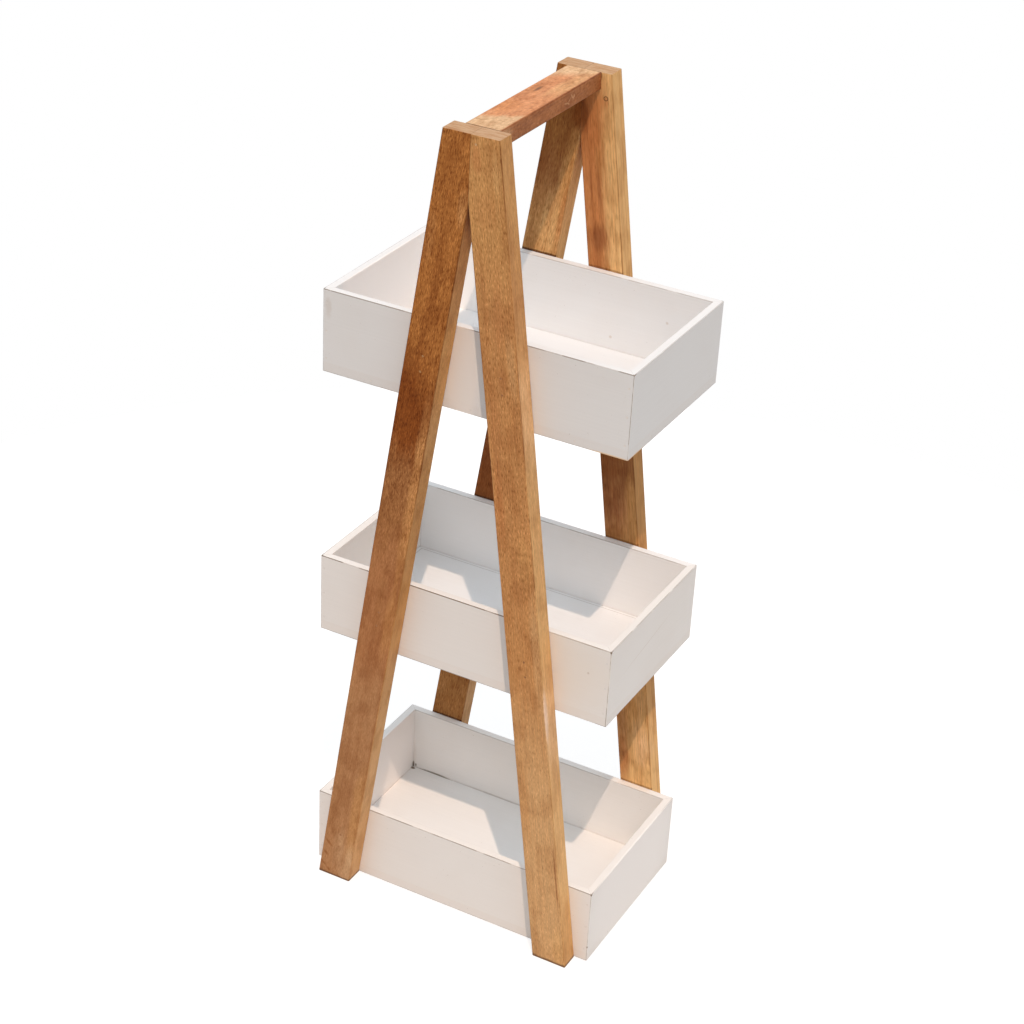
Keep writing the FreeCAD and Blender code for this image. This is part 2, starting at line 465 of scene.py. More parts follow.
@dataclass(frozen=True, kw_only=True)
class TimberFinish:
    """Oiled hardwood, solid through a bar.

    Attributes:
        name: name of the material.
        turn: Euler angles that bring the bar along Z.
        shift: brings the middle of the bar's first end to zero.
        half: half of the bar's width and thickness.
        length: length of the bar.
        tones: colours along the bar, each with one share of the length or the two between which it runs.
        patches: stains, sapwood and streaks, in the bar's own axes.
        grain: waves in a metre of the pores, across and along the bar.
        streaks: depth of the long streaks.
        flecks: depth of the dark pores.
        glints: depth of the pale pores.
        blotches: depth of the uneven oil.
        arris: depth of the dark line on the long edges.
        seed: makes this bar's figure its own.
        slant: how far a change of tone leans along the bar, for each metre across it.
        knot: ring knot, if the bar has one.
        pith: middle of the growth rings, across the width and the thickness.
        rings: depth of the growth lines.
        fibres: depth of the fine long fibres.
        calm: share of the length, from the first end, over which pores and edges show less, and what is left.
        gloss: specular level.
        top: height of a leg's sawn upper end, or none on the rail.
    """

    name: str
    turn: Triple
    shift: Triple
    half: tuple[float, float]
    length: float
    tones: tuple[tuple[Tone | float, ...], ...]
    patches: tuple[Patch, ...]
    grain: tuple[float, float]
    streaks: float
    flecks: float
    glints: float
    blotches: float
    arris: float
    seed: float
    slant: float = 0.0
    knot: Knot | None = None
    pith: tuple[float, float] = (0.06, 0.10)
    rings: float = 0.2
    fibres: float = 0.36
    calm: tuple[float, float] = (0.0, 1.0)
    gloss: float = 0.2
    top: float | None = None

    # Layers of noise, and the values between which some of them show
    WANDER = Layer((110, 110, 13), 0, 3.0)
    OIL = Layer((55, 55, 27), 11, 3.0)
    STREAK = Layer((170, 170, 5), 5, 4.0)
    FIBRE = Layer((700, 700, 28), 3, 2.0)
    SWAY = Layer((14, 14, 4), 13, 4.0)
    SAWN = Layer((60, 520, 60), 17, 4.0)
    OILY = (-0.03, 0.15)
    STREAKY = (-0.02, 0.16)
    DARK_PORE = (0.02, 0.2)
    PALE_PORE = (-0.05, -0.2)
    BROKEN = (-0.16, 0.02)
    SAWN_MARK = (-0.06, 0.16)

    # Colours that darken or lighten the wood
    OIL_TINT = (0.66, 0.52, 0.40)
    STREAK_TINT = (0.66, 0.48, 0.36)
    PORE_TINT = (0.50, 0.38, 0.28)
    GLINT_TINT = (1.6, 1.75, 1.95)
    ARRIS_TINT = (0.36, 0.26, 0.2)

    # Sizes of the figure, and shares of what shows
    RING_PITCH = 3.4 * MM
    RING_SWAY = 30 * MM
    ARRIS = 1.5 * MM
    SEAM = 0.35 * MM
    END_SKIN = 0.6 * MM
    JOINT = (1.6 * MM, 0.4 * MM)
    DIRT = (5.0 * MM, 1.6 * MM)
    DIRT_SWAY = 6 * MM
    RELIEF = 0.1 * MM
    CALM_FADE = (-0.12, 0.1)
    TONE_SWAY = 0.08
    SIDE_PORES = 0.45
    SIDE_FADE = (0.1 * MM, 0.5 * MM)
    RING_EDGE = 3.0
    JOINT_DEPTH = 0.75
    SEAM_DEPTH = 0.6
    DIRT_DEPTH = 0.8
    SAWN_DEPTH = 0.6
    END_DEPTH = 0.95
    ROUGHNESS = 0.55

    def material(self) -> bpy.types.Material:
        """Builds the material.

        Returns:
            The material.
        """
        material, graph = new_material(self.name)
        place = graph.object_place()
        bar = graph.mapped(place, shift=self.shift, turn=self.turn)
        wood = Stock(graph, place, bar, *graph.axes(bar), graph.noise(bar, self.WANDER, self.seed))
        lively = self._lively(wood)
        colour = self._tones(wood)
        oil = graph.noise(bar, self.OIL, self.seed)
        colour = graph.tinted(colour, graph.span(oil, *self.OILY, 0.0, self.blotches), self.OIL_TINT)
        streak = graph.noise(bar, self.STREAK, self.seed)
        colour = graph.tinted(colour, graph.span(streak, *self.STREAKY, 0.0, self.streaks), self.STREAK_TINT)
        colour = graph.tinted(colour, graph.times(self._rings(wood), self.rings), self.OIL_TINT)
        fibre = graph.noise(bar, self.FIBRE, self.seed)
        colour = graph.brightness(colour, graph.plus(1.0, fibre, self.fibres))
        wide, long = self.grain
        pores = graph.plus(graph.noise(bar, Layer((wide, wide, long), 7, 1.5), self.seed), oil, 0.15)
        showing = graph.times(lively, self._faced(wood))
        dark = graph.times(graph.span(pores, *self.DARK_PORE, 0.0, self.flecks), showing)
        pale = graph.times(graph.span(pores, *self.PALE_PORE, 0.0, self.glints), showing)
        colour = graph.tinted(graph.tinted(colour, dark, self.PORE_TINT), pale, self.GLINT_TINT)
        colour = self._edges(wood, colour, lively)
        colour = self._joints(wood, colour) if self.top is None else self._ends(wood, colour)
        rough = graph.plus(graph.plus(self.ROUGHNESS, dark, 0.15), fibre, 0.25)
        graph.surface(colour, rough, graph.bump(graph.plus(fibre, dark, -0.8), self.RELIEF), self.gloss)
        return material

    def _lively(self, wood: Stock) -> Feed:
        """Share of the pores and of the edges' lines that shows.

        Args:
            wood: shared sockets.

        Returns:
            One, or a value that drops in the calm stretch.
        """
        share, left = self.calm
        if not share:
            return 1.0
        start, stop = ((share + fade) * self.length for fade in self.CALM_FADE)
        return wood.graph.span(wood.along, start, stop, left, 1.0)

    def _faced(self, wood: Stock) -> Feed:
        """Share of the pores that shows on a face.

        Args:
            wood: shared sockets.

        Returns:
            One, or less on the sides of a leg.
        """
        if self.top is None:
            return 1.0
        inside = wood.graph.math("SUBTRACT", self.half[0], wood.graph.off(wood.across))
        return wood.graph.span(inside, *self.SIDE_FADE, self.SIDE_PORES, 1.0)

    def _tones(self, wood: Stock) -> Socket:
        """Colour along the bar, with its patches and its knot.

        Args:
            wood: shared sockets.

        Returns:
            The colour.
        """
        graph = wood.graph
        leaning = graph.plus(wood.along, wood.across, self.slant)
        share = graph.plus(graph.math("DIVIDE", leaning, self.length), wood.wander, self.TONE_SWAY)
        stops = tuple((place, tone.value) for tone, *places in self.tones for place in places)
        colour = graph.ramp(share, stops)
        for patch in self.patches:
            colour = patch.over(graph, wood.bar, colour, wood.wander)
        return self.knot.over(graph, wood.bar, colour) if self.knot else colour

    def _rings(self, wood: Stock) -> Socket:
        """Growth lines round the pith.

        Args:
            wood: shared sockets.

        Returns:
            The line's depth, which rises from 0 to a sharp 1.
        """
        graph = wood.graph
        sway = graph.noise(wood.bar, self.SWAY, self.seed)
        side = graph.plus(graph.math("SUBTRACT", wood.across, self.pith[0]), sway, self.RING_SWAY)
        back = graph.math("SUBTRACT", wood.through, self.pith[1])
        turns = graph.math("DIVIDE", graph.hypot(side, back), self.RING_PITCH)
        return graph.math("POWER", graph.math("FRACT", turns), self.RING_EDGE)

    def _edges(self, wood: Stock, colour: Socket, lively: Feed) -> Socket:
        """Dark broken lines on the long edges.

        Args:
            wood: shared sockets.
            colour: colour underneath.
            lively: share of the lines that shows.

        Returns:
            The new colour.
        """
        graph = wood.graph
        wide = graph.math("SUBTRACT", graph.off(wood.across), self.half[0])
        deep = graph.math("SUBTRACT", graph.off(wood.through), self.half[1])
        edge = graph.plus(graph.math("MINIMUM", wide, deep), wood.wander, self.ARRIS)
        line = graph.span(edge, -self.ARRIS, -0.2 * self.ARRIS, 0.0, self.arris)
        broken = graph.times(graph.times(line, lively), graph.span(wood.wander, *self.BROKEN, 0.4, 1.0))
        return graph.tinted(colour, broken, self.ARRIS_TINT)

    def _joints(self, wood: Stock, colour: Socket) -> Socket:
        """Dark lines where the ends of the rail meet the frames.

        Args:
            wood: shared sockets.
            colour: colour underneath.

        Returns:
            The new colour.
        """
        middle = self.length / 2
        start, stop = (middle - inset for inset in self.JOINT)
        joint = wood.graph.span(wood.graph.off(wood.along, middle), start, stop, 0.0, self.JOINT_DEPTH)
        return wood.graph.mix(joint, colour, Tone.BARK.value)

    def _ends(self, wood: Stock, colour: Socket) -> Socket:
        """End grain on top of a leg, the glue line of its mitre and dirt round its foot.

        Args:
            wood: shared sockets.
            colour: colour underneath.

        Returns:
            The new colour.
        """
        graph = wood.graph
        middle, _, height = graph.axes(wood.place)
        sawn = graph.noise(wood.place, self.SAWN, self.seed)
        marks = graph.span(sawn, *self.SAWN_MARK, 0.0, self.SAWN_DEPTH)
        grain = graph.mix(marks, Tone.END_GRAIN.value, Tone.TAWNY.value)
        start, stop = self.top - self.END_SKIN, self.top - self.END_SKIN / 3
        on_top = graph.span(height, start, stop, 0.0, self.END_DEPTH)
        colour = graph.mix(on_top, colour, grain)
        seam = graph.span(graph.off(middle), self.SEAM, 0.4 * self.SEAM, 0.0, self.SEAM_DEPTH)
        dirt = graph.span(graph.plus(height, sawn, self.DIRT_SWAY), *self.DIRT, 0.0, self.DIRT_DEPTH)
        return graph.mix(graph.math("MAXIMUM", seam, dirt), colour, Tone.BARK.value)


class Coat(Enum):
    """White paints of the trays, as a fresh and an aged colour."""

    WARM = ((0.91, 0.902, 0.89), (0.895, 0.88, 0.862))
    COOL = ((0.865, 0.885, 0.902), (0.85, 0.863, 0.874))
    # Brighter, bluer white; inside the middle tray it is painted light on the shaded rear board and floor
    CLEAR = ((0.935, 0.945, 0.955), (0.92, 0.925, 0.93))


@dataclass(frozen=True)
class PaintFinish:
    """Brushed white paint on the boards of one tray.

    Attributes:
        name: name of the material.
        low: lowest corner of the tray's front board.
        high: highest corner of the tray's front board.
        coat: which white.
        strokes: waves in a metre of the brush strokes along each axis.
        worn: how open the corner seams and the edges are.
        bead: depth of the line that filler leaves on the floor, beside the boards.
        flaws_and_light: stains and chips, and patches of painted light and shade.
        seed: makes this coat its own.
    """

    name: str
    low: Vector
    high: Vector
    coat: Coat
    strokes: Triple
    worn: float
    bead: float
    flaws_and_light: tuple[Patch, ...]
    seed: float

    # Layers of noise, and the values between which they show
    CLOUD = Layer((9, 9, 9), 0, 3.0)
    SPECKS = Layer((420, 420, 420), 4, 1.0)
    BREAKS = Layer((38, 38, 55), 6, 3.0)
    CLOUDY = (-0.15, 0.2)
    SPECKLED = (0.27, 0.31)
    BROKEN = (-0.18, 0.0)

    # Sizes of the wear
    SEAM = 0.65 * MM
    ARRIS = 1.1 * MM
    LIP = 13 * MM
    LIP_FADE = 1.5 * MM
    LIP_TINT = (0.985, 0.97, 0.96)
    BEAD = 4.5 * MM
    BEAD_LINE = (0.9 * MM, 0.3 * MM)
    CORNER_FADE = (-3 * MM, -1 * MM)
    FRONT_FADE = (2 * MM, 8 * MM)
    RELIEF = 0.06 * MM
    ROUGHNESS = 0.5
    GLOSS = 0.35

    def material(self) -> bpy.types.Material:
        """Builds the material.

        Returns:
            The material.
        """
        material, graph = new_material(self.name)
        place = graph.object_place()
        cloud = graph.noise(place, self.CLOUD, self.seed)
        brush = graph.noise(place, Layer(self.strokes, 2, 3.0), self.seed)
        breaks = graph.noise(place, self.BREAKS, self.seed)
        specks = graph.span(graph.noise(place, self.SPECKS, self.seed), *self.SPECKLED, 0.0, 0.25)
        colour = graph.mix(graph.span(cloud, *self.CLOUDY), *self.coat.value)
        colour = graph.brightness(colour, graph.plus(1.0, brush, 0.05))
        colour = graph.mix(specks, colour, Wear.BARE.value)
        x, y, _ = graph.axes(place)
        out_x = graph.math("SUBTRACT", graph.off(x), self.high.x)
        out_y = graph.math("SUBTRACT", graph.off(y), -self.low.y)
        if self.worn:
            colour = self._wear(graph, place, out_x, out_y, breaks, colour)
        if self.bead:
            from_wall = graph.math("ADD", graph.math("MAXIMUM", out_x, out_y), self.wall + self.BEAD)
            line = graph.span(graph.off(from_wall), *self.BEAD_LINE, 0.0, self.bead)
            colour = graph.mix(line, colour, Wear.BARE.value)
        # Stains, chips and patches of painted light and shade
        for tray_patch in self.flaws_and_light:
            colour = tray_patch.over(graph, place, colour, breaks)
        relief = graph.bump(graph.plus(brush, cloud, 0.6), self.RELIEF)
        graph.surface(colour, graph.plus(self.ROUGHNESS, brush, 0.2), relief, self.GLOSS)
        return material

    @property
    def wall(self) -> float:
        """Thickness of the tray's boards."""
        return self.high.y - self.low.y

    def _wear(self, graph: Graph, place: Socket, out_x: Socket, out_y: Socket, breaks: Socket,
              colour: Socket) -> Socket:
        """Dull lip, with bare wood at the open mitres, on the rim's edges and along the foot.

        Args:
            graph: tree to add to.
            place: Object coordinates.
            out_x: distance outside the tray's ends.
            out_y: distance outside its front and rear.
            breaks: noise that breaks the lines.
            colour: colour underneath.

        Returns:
            The new colour.
        """
        _, y, z = graph.axes(place)
        above = graph.math("SUBTRACT", z, self.low.z)
        below = graph.math("SUBTRACT", z, self.high.z)
        out = graph.math("MAXIMUM", out_x, out_y)
        inside = graph.math("ADD", out, self.wall)
        colour = graph.tinted(colour, graph.span(above, self.LIP, self.LIP - self.LIP_FADE), self.LIP_TINT)
        corner = graph.span(graph.math("MINIMUM", out_x, out_y), *self.CORNER_FADE, 0.2, 1.0)
        seam = graph.times(graph.span(graph.off(out_x, out_y), self.SEAM, 0.3 * self.SEAM), corner)
        front = graph.span(y, *(self.low.y + inset for inset in self.FRONT_FADE), 1.0, 0.45)
        rear = graph.span(y, 0.0, -self.low.y - 2 * self.wall, 0.15, 0.5)
        outer = graph.times(self._line(graph, out, below, 0.5, 1.0), front)
        inner = graph.times(self._line(graph, inside, below, 0.5, 1.0), rear)
        foot = self._line(graph, out, above, 0.4, 0.6)
        worn = seam
        for line in (outer, inner, foot):
            worn = graph.math("MAXIMUM", worn, line)
        worn = graph.times(graph.times(worn, graph.span(breaks, *self.BROKEN, 0.35, 1.0)), self.worn)
        return graph.mix(worn, colour, Wear.BARE.value)

    def _line(self, graph: Graph, first: Socket, second: Socket, core: float, depth: float) -> Socket:
        """Line along an edge that lies where two distances are zero, with a dark core."""
        return graph.span(graph.hypot(first, second), self.ARRIS, core * self.ARRIS, 0.0, depth)


@dataclass(frozen=True)
class PlainFinish:
    """Simple mottled finish for small parts.

    Attributes:
        name: name of the material.
        pale: lighter colour.
        dark: darker colour.
        grain: waves in a metre of the mottling.
        roughness: roughness of the gloss.
        metallic: 1 on bare metal.
    """

    name: str
    pale: Triple
    dark: Triple
    grain: Triple = (900, 900, 900)
    roughness: float = 0.6
    metallic: float = 0.0

    SEED = 4.0
    MOTTLED = (-0.2, 0.2)
    RELIEF = 0.05 * MM
    GLOSS = 0.5

    def material(self) -> bpy.types.Material:
        """Builds the material.

        Returns:
            The material.
        """
        material, graph = new_material(self.name)
        mottle = graph.noise(graph.object_place(), Layer(self.grain, 0, 3.0), self.SEED)
        colour = graph.mix(graph.span(mottle, *self.MOTTLED), self.pale, self.dark)
        rough = graph.plus(self.roughness, mottle, 0.3)
        graph.surface(colour, rough, graph.bump(mottle, self.RELIEF), self.GLOSS, self.metallic)
        return material


class Putty(Enum):
    """Finishes of the putty over the nail heads."""

    PAINTED = PlainFinish("painted_putty", (0.87, 0.858, 0.845), (0.84, 0.82, 0.80), (500, 500, 500))
    PALE = PlainFinish("pale_putty", (0.52, 0.28, 0.11), (0.4, 0.19, 0.07))
    LIGHT = PlainFinish("light_putty", (0.74, 0.48, 0.25), (0.62, 0.37, 0.17))
    DARK = PlainFinish("dark_putty", (0.36, 0.16, 0.055), (0.25, 0.1, 0.035))
    STRAW = PlainFinish("straw_putty", (0.66, 0.38, 0.16), (0.58, 0.32, 0.13))
    BROWN = PlainFinish("brown_putty", (0.42, 0.19, 0.07), (0.34, 0.14, 0.05))


class Fixing(Enum):
    """Finishes of the nails and dowels, named as their nodes end."""

    NAILS = PlainFinish("nail_steel", (0.5, 0.48, 0.46), (0.22, 0.2, 0.18), roughness=0.4, metallic=1.0)
    DOWELS = PlainFinish("dowel_beech", (0.66, 0.46, 0.28), (0.55, 0.36, 0.2), (60, 900, 900))


@dataclass
class LeaningFrames:
    """The two A-shaped frames.

    Attributes:
        nodes: CAD node objects by name.
        leg_width: width of a leg across its lean.
        mitre: length of the upright glue line.
    """

    nodes: Nodes
    leg_width: float = 46 * MM
    mitre: float = 81 * MM

    # Depth and reach of the patches on the faces, sides and rims
    SKIN = 30 * MM
    FLANK_SKIN = 1.3 * MM
    FLANK_REACH = 100 * MM
    FLANK_RAGGED = 0.2
    RIM_REACH = (60 * MM, 3 * MM, 2.7 * MM)
    RIM_LIFT = 0.6 * MM

    # Saw strokes near a foot: places across and along and half lengths in millimetres
    FOOT_STROKES = ((-15.4, 51, 9.5), (-17, 32, 7.2), (-19, 14.5, 7), (-9, 7, 6.5))
    STROKE_HALF = 3.2
    STROKE_SLOPE = 0.68

    def __post_init__(self) -> None:
        """Works out the lean from the frame's own boxes."""
        low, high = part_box("front_right_leg")
        self.spread = high.x
        self.top = high.z
        self.thickness = high.y - low.y
        self.middle_y = -(high.y + low.y) / 2
        crotch = self.top - self.mitre
        reach = math.hypot(self.spread, crotch)
        self.lean = math.acos(self.leg_width / reach) - math.atan2(crotch, self.spread)
        self.foot = self.spread - self.leg_width / math.cos(self.lean) / 2
        self.length = self.top / math.cos(self.lean)

    def finish(self, end: End, side: Side, **figure: object) -> TimberFinish:
        """Timber finish in the axes of one leg.

        Args:
            end: which frame.
            side: which leg.
            figure: the leg's own tones and figure.

        Returns:
            The finish.
        """
        shift = (-side.value * self.foot * math.cos(self.lean), -end.value * self.middle_y,
                 self.foot * math.sin(self.lean))
        return TimberFinish(
            name=f"{end.name.lower()}_{side.name.lower()}_leg_timber", shift=shift,
            turn=(0.0, side.value * self.lean, 0.0), half=(self.leg_width / 2, self.thickness / 2),
            length=self.length, top=self.top, **figure)

    def spot(self, across: float, along: float, wide: float, long: float, tone: Tone, strength: float = 0.6,
             ragged: float = 0.8, soft: float = 0.7, tilt: float = 0.0) -> Patch:
        """Patch on the front face of a leg.

        Args:
            across: place across the width, in millimetres.
            along: place along the leg, in millimetres.
            wide: half of its width, in millimetres.
            long: half of its length, in millimetres.
            tone: its colour.
            strength: share of the colour at its middle.
            ragged: how far noise moves its edge.
            soft: share of its reach over which it fades.
            tilt: slope of its width towards the foot, in radians.

        Returns:
            The patch.
        """
        centre = (across * MM, -self.thickness / 2, along * MM)
        reach = (wide * MM, self.SKIN, long * MM)
        return Patch(centre, reach, tone, strength, ragged, soft, (0.0, -tilt, 0.0))

    def flank(self, along: float, long: float, tone: Tone, strength: float, soft: float = 0.4) -> Patch:
        """Patch on the side of a leg that faces +X, with its place and half length in millimetres."""
        reach = (self.FLANK_SKIN, self.FLANK_REACH, long * MM)
        return Patch((self.leg_width / 2, 0.0, along * MM), reach, tone, strength, self.FLANK_RAGGED, soft)

    def spots(self, *rows: tuple[float | Tone, ...]) -> tuple[Patch, ...]:
        """Patches on the front face, from rows of the values that spot takes."""
        return tuple(self.spot(*row) for row in rows)

    def flanks(self, *rows: tuple[float | Tone, ...]) -> tuple[Patch, ...]:
        """Patches on the side, from rows of the values that flank takes."""
        return tuple(self.flank(*row) for row in rows)

    def rim_shade_lines(self, side: Side, depth: float) -> tuple[Patch, ...]:
        """Painted shade on the front of a rear leg, just above the rims of the trays, where the leg meets
        them.

        Args:
            side: which leg.
            depth: share of the painted shade.

        Returns:
            A dark line for each tray.
        """
        lines = []
        for tray in TRAY_NAMES:
            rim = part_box(f"{tray}_tray_rear_board")[1].z
            centre = (0.0, -self.thickness / 2, rim / math.cos(self.lean) + self.RIM_LIFT)
            level = (0.0, -side.value * self.lean, 0.0)
            lines.append(Patch(centre, self.RIM_REACH, Tone.BARK, depth, 0.7, 0.55, level))
        return tuple(lines)

    def front_left(self) -> TimberFinish:
        """Dark russet leg, paler and calmer towards the foot, where saw strokes show.

        Returns:
            The finish.
        """
        stroke = (self.STROKE_HALF, Tone.UMBER, 0.55, 0.8, 0.9, self.STROKE_SLOPE)
        spots = self.spots(
            (19, 610, 12, 190, Tone.AMBER, 0.85),
            (19, 825, 11, 130, Tone.RUSSET, 0.75),
            (1, 910, 8, 80, Tone.UMBER, 0.4, 1.2),
            (-16, 940, 9, 40, Tone.AMBER, 0.35),
            (16, 425, 12, 70, Tone.AMBER, 0.55),
            (8, 775, 15, 60, Tone.RUSSET, 0.3),
            (-17, 720, 9, 60, Tone.UMBER, 0.45),
            (2, 45, 12, 50, Tone.SAPWOOD, 0.4),
            (18, 985, 10, 30, Tone.AMBER, 0.7),
            (0, 450, 9, 75, Tone.TAWNY, 0.4),
            (4, 225, 14, 30, Tone.TAWNY, 0.15),
            (-18, 120, 10, 95, Tone.TAWNY, 0.3),
            (18, 110, 14, 120, Tone.HONEY, 0.45),
            (20, 10, 17, 65, Tone.SAPWOOD, 0.85),
            *(place + stroke for place in self.FOOT_STROKES))
        flanks = self.flanks(
            # Paler side: partly paler wood, partly painted light on the side that faces +X
            (400, 1600, Tone.HONEY, 0.95),
            (770, 170, Tone.WHEAT, 0.4, 0.8),
            (200, 130, Tone.WHEAT, 0.4, 0.8),
            (0, 500, Tone.FLAX, 0.4, 0.6),
            # Painted shade on the side by the crotch, where it faces the other leg
            (985, 42, Tone.UMBER, 0.7, 0.9))
        return self.finish(
            End.FRONT, Side.LEFT, seed=2.0, grain=(980.0, 215.0), fibres=0.15, flecks=0.85, glints=0.75,
            blotches=0.45, streaks=0.15, rings=0.12, arris=0.9, calm=(0.53, 0.33), gloss=0.1,
            tones=((Tone.CHESTNUT, 0.0, 0.28), (Tone.COPPER, 0.35, 0.46), (Tone.TAWNY, 0.53, 0.59),
                   (Tone.UMBER, 0.635, 0.705), (Tone.RUSSET, 0.77, 1.0)),
            patches=spots + flanks)

    def front_right(self) -> TimberFinish:
        """Straw-coloured leg with a pale streak by one arris, paler sides that are partly painted sheen, and
        a dark streak near the foot.

        Returns:
            The finish.
        """
        spots = self.spots(
            (18, 440, 10, 120, Tone.STRAW),
            (12, 560, 12, 50, Tone.HONEY, 0.5),
            (16, 20, 12, 50, Tone.WHEAT),
            (-15, 240, 9, 90, Tone.AMBER, 0.55),
            (-15, 640, 9, 80, Tone.RUST, 0.45),
            (-12, 730, 10, 70, Tone.SIENNA, 0.35),
            (2, 790, 8, 25, Tone.SIENNA, 0.3),
            (2, 860, 9, 50, Tone.SIENNA, 0.3),
            (15, 810, 8, 50, Tone.STRAW, 0.4),
            (16, 1030, 9, 30, Tone.WHEAT, 0.45),
            (20, 130, 1.6, 70, Tone.UMBER),
            (-7, 434, 2.4, 3.5, Tone.UMBER, 0.45),
            (-6, 423, 3.2, 4.5, Tone.UMBER, 0.5),
            (-8, 1045, 10, 22, Tone.RUST, 0.45),
            (0, 985, 24, 30, Tone.SIENNA, 0.2))
        flanks = self.flanks(
            # Paler side: partly paler wood, partly painted sheen on a side seen at a grazing angle
            (300, 620, Tone.WHEAT, 0.75),
            (350, 90, Tone.FLAX, 0.6, 0.8),
            (750, 90, Tone.FLAX, 0.5, 0.8),
            (0, 100, Tone.HONEY, 0.7, 0.8))
        # Pale streak on the side, along the front arris
        pale_arris_streak = Patch((self.leg_width / 2, -11 * MM, 362 * MM), (1.6 * MM, 7 * MM, 45 * MM),
                            Tone.CHALK, 0.8, 0.5, 0.8)
        return self.finish(
            End.FRONT, Side.RIGHT, seed=5.0, grain=(800.0, 175.0), fibres=0.48, flecks=0.7, glints=0.56,
            blotches=0.35, streaks=0.2, rings=0.12, pith=(-0.08, 0.06), arris=0.75, calm=(0.47, 0.6),
            tones=((Tone.STRAW, 0.0, 0.24), (Tone.AMBER, 0.39, 0.82), (Tone.HONEY, 0.9, 1.0)),
            patches=(*spots, *flanks, pale_arris_streak))

    def rear_right(self) -> TimberFinish:
        """Leg of two colours, red on its left and wheat-coloured on its right, with painted shade under the
        rail and next to the trays.

        Returns:
            The finish.
        """
        spots = self.spots(
            (-13, 930, 29, 270, Tone.RUST, 0.95),
            (-2, 1034, 25, 48, Tone.RUST, 0.8, 0.8, 0.9),
            # Painted shade under the rail
            (-19, 1022, 12, 34, Tone.UMBER, 0.9),
            (-20, 955, 8, 35, Tone.SIENNA, 0.3),
            (-7, 868, 19, 25, Tone.MAHOGANY, 0.88, 1.2),
            # Darker just above the top tray's rim: partly redder wood, partly painted shade
            (-14, 838, 17, 24, Tone.SIENNA, 0.65, 1.0, 0.8),
            (0, 960, 6, 25, Tone.HONEY, 0.4),
            (16, 165, 10, 40, Tone.FLAX, 0.5),
            (14, 240, 12, 25, Tone.STRAW, 0.5),
            (-12, 925, 3.2, 55, Tone.MAHOGANY, 0.6, 1.6),
            (-1, 922, 4, 38, Tone.MAHOGANY, 0.7, 1.6),
            (12, 1034, 7, 10, Tone.RUST, 0.5),
            # Painted shade just above the middle tray's rim
            (-10, 480, 20, 15, Tone.UMBER, 0.4),
            # Painted shade below the top tray
            (-8, 572, 30, 26, Tone.UMBER, 0.4),
            (-18, 180, 14, 120, Tone.COPPER, 0.6),
            (-16, 150, 11, 45, Tone.RUST, 0.6),
            (8, 175, 14, 50, Tone.FLAX, 0.3),
            (-18, 540, 13, 60, Tone.UMBER, 0.4),
            (18, 515, 13, 70, Tone.HONEY, 0.85))
        return self.finish(
            End.REAR, Side.RIGHT, seed=9.0, grain=(640.0, 90.0), fibres=0.6, flecks=0.36, glints=0.2,
            blotches=0.4, streaks=0.36, rings=0.12, arris=0.6, gloss=0.12,
            tones=((Tone.WHEAT, 0.0, 0.16), (Tone.HONEY, 0.21, 0.42), (Tone.COPPER, 0.47), (Tone.TAWNY, 0.56),
                   (Tone.HONEY, 0.66), (Tone.WHEAT, 0.78, 1.0)),
            patches=(*spots, self.flank(530, 110, Tone.HONEY, 0.8), *self.rim_shade_lines(Side.RIGHT, 0.5)),
            knot=Knot(13.6 * MM, 1038 * MM, 2.4 * MM))

    def rear_left(self) -> TimberFinish:
        """Dark leg with a paler band above the top tray, partly paler wood and partly painted light where the
        key lights it, and painted shade under the rail.

        Returns:
            The finish.
        """
        spots = self.spots(
            # Paler wood on the strip that the key lights, partly painted light
            (12, 840, 22, 125, Tone.WHEAT, 0.55),
            (-18, 950, 12, 50, Tone.UMBER, 0.3),
            # Painted light: lighter where the key lights the upper right
            (20, 940, 15, 80, Tone.HONEY, 0.8),
            (21, 885, 6, 55, Tone.RUST, 0.4),
            # Painted shade under the rail
            (18, 1018, 13, 26, Tone.UMBER, 0.75),
            (0, 150, 40, 90, Tone.OLIVE, 0.35),
            (-18, 155, 9, 30, Tone.OLIVE, 0.5),
            (18, 160, 9, 14, Tone.OLIVE, 0.3))
        flanks = self.flanks(
            # Paler side: partly paler wood, partly painted light on a side that the key lights weakly
            (890, 260, Tone.WHEAT, 0.85),
            (930, 45, Tone.WHEAT, 0.6, 0.8),
            (150, 150, Tone.STRAW, 0.75, 0.5))
        return self.finish(
            End.REAR, Side.LEFT, seed=13.0, grain=(680.0, 140.0), flecks=0.6, glints=0.42,
            blotches=0.35, streaks=0.28, arris=0.6, gloss=0.08,
            tones=((Tone.MOSS, 0.0, 0.25), (Tone.COCOA, 0.5), (Tone.RUSSET, 0.62), (Tone.OLIVE, 0.76, 0.81),
                   (Tone.TAWNY, 0.87), (Tone.MOSS, 0.92, 1.0)),
            patches=(*spots, *flanks, *self.rim_shade_lines(Side.LEFT, 0.9)))

    def dress(self) -> None:
        """Gives each leg its own timber."""
        finishes = {"front_left_leg": self.front_left(), "front_right_leg": self.front_right(),
                    "rear_right_leg": self.rear_right(), "rear_left_leg": self.rear_left()}
        for name, finish in finishes.items():
            dress(self.nodes[name], finish.material())


